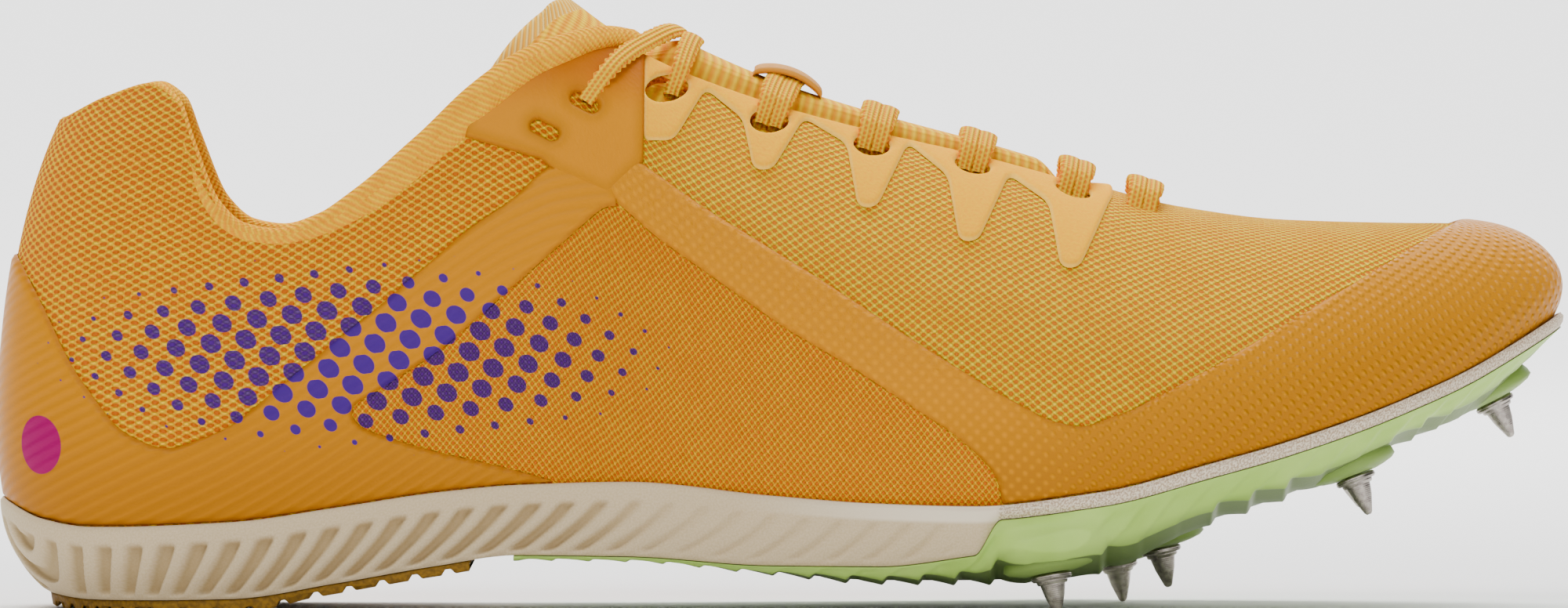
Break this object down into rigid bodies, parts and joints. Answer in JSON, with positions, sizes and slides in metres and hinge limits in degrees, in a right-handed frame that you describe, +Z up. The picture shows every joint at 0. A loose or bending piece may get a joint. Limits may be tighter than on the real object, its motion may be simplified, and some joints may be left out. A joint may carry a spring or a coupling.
{
  "type": "track spike shoe",
  "caption": "Right running spike shoe with a hollow mesh upper, film overlays, flat laces, a foam heel, a stiff plate and steel pins under the forefoot.",
  "frame": {"origin": "on the floor, under the middle of the shoe's bounding box", "axes": "+X from the heel to the toe, +Y to the inner (big toe) side, +Z up"},
  "size_m": [0.286, 0.0906, 0.1118],
  "materials": {
    "mesh": "two-tone open mesh over orange lining",
    "knit": "soft padded knit",
    "tongue_knit": "ribbed knit",
    "film": "smooth satin film",
    "eyestay_suede": "suede-like, matt",
    "lace": "flat woven lace",
    "insole_cloth": "cloth over thin foam",
    "foam": "moulded foam, matt",
    "plate": "moulded, slightly glossy",
    "heel_rubber": "textured rubber",
    "spike_steel": "plain turned steel"
  },
  "bodies": {
    "root": {"upper": "mesh", "collar_lining": "knit", "tongue": "tongue_knit", "lace_keeper": "film", "insole": "insole_cloth", "heel_counter": "film", "toe_guard": "film", "lacing_wing_lateral": "film", "lacing_wing_medial": "film", "eyestay_lateral": "eyestay_suede", "eyestay_medial": "eyestay_suede", "midsole": "foam", "spike_plate": "plate", "heel_outsole": "heel_rubber", "lace_row_1": "lace", "lace_row_2": "lace", "lace_row_3": "lace", "lace_row_4": "lace", "lace_row_5": "lace", "lace_row_6": "lace", "spike_1": "spike_steel", "spike_2": "spike_steel", "spike_3": "spike_steel", "spike_4": "spike_steel", "spike_5": "spike_steel", "spike_6": "spike_steel"}
  },
  "joints": []
}
